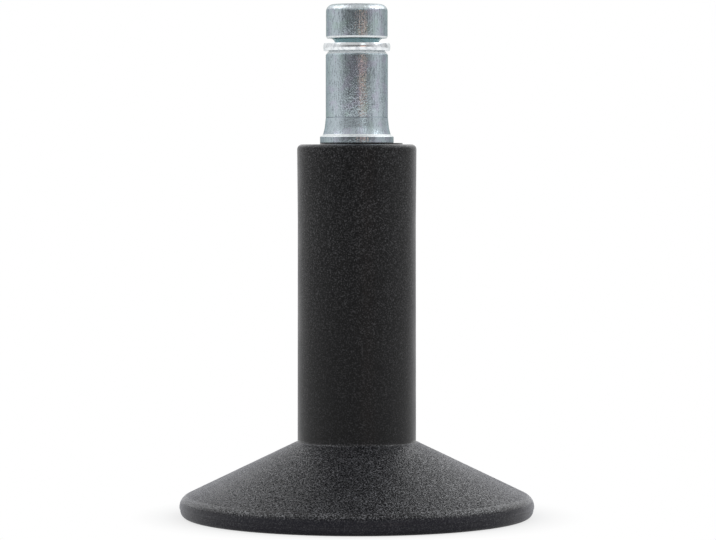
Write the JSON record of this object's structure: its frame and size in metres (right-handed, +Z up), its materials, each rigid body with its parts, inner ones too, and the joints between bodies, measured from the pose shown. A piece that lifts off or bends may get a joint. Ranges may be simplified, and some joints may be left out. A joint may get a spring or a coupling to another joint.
{
  "type": "office chair glide",
  "caption": "Bell-shaped black nylon glide with a tall column and a plated grip-ring stem that pushes into a chair base in place of a caster.",
  "frame": {"origin": "centre of the flat foot ring, on the floor", "axes": "+Z up along the stem; +X towards the side where the low pad shows past the collar"},
  "size_m": [0.0635, 0.0634, 0.0916],
  "materials": {
    "black_nylon": "matte",
    "zinc_plated_steel": "satin",
    "spring_steel": "gloss"
  },
  "bodies": {
    "root": {"glide_body": "black_nylon", "stem": "zinc_plated_steel", "grip_ring": "spring_steel"}
  },
  "joints": []
}
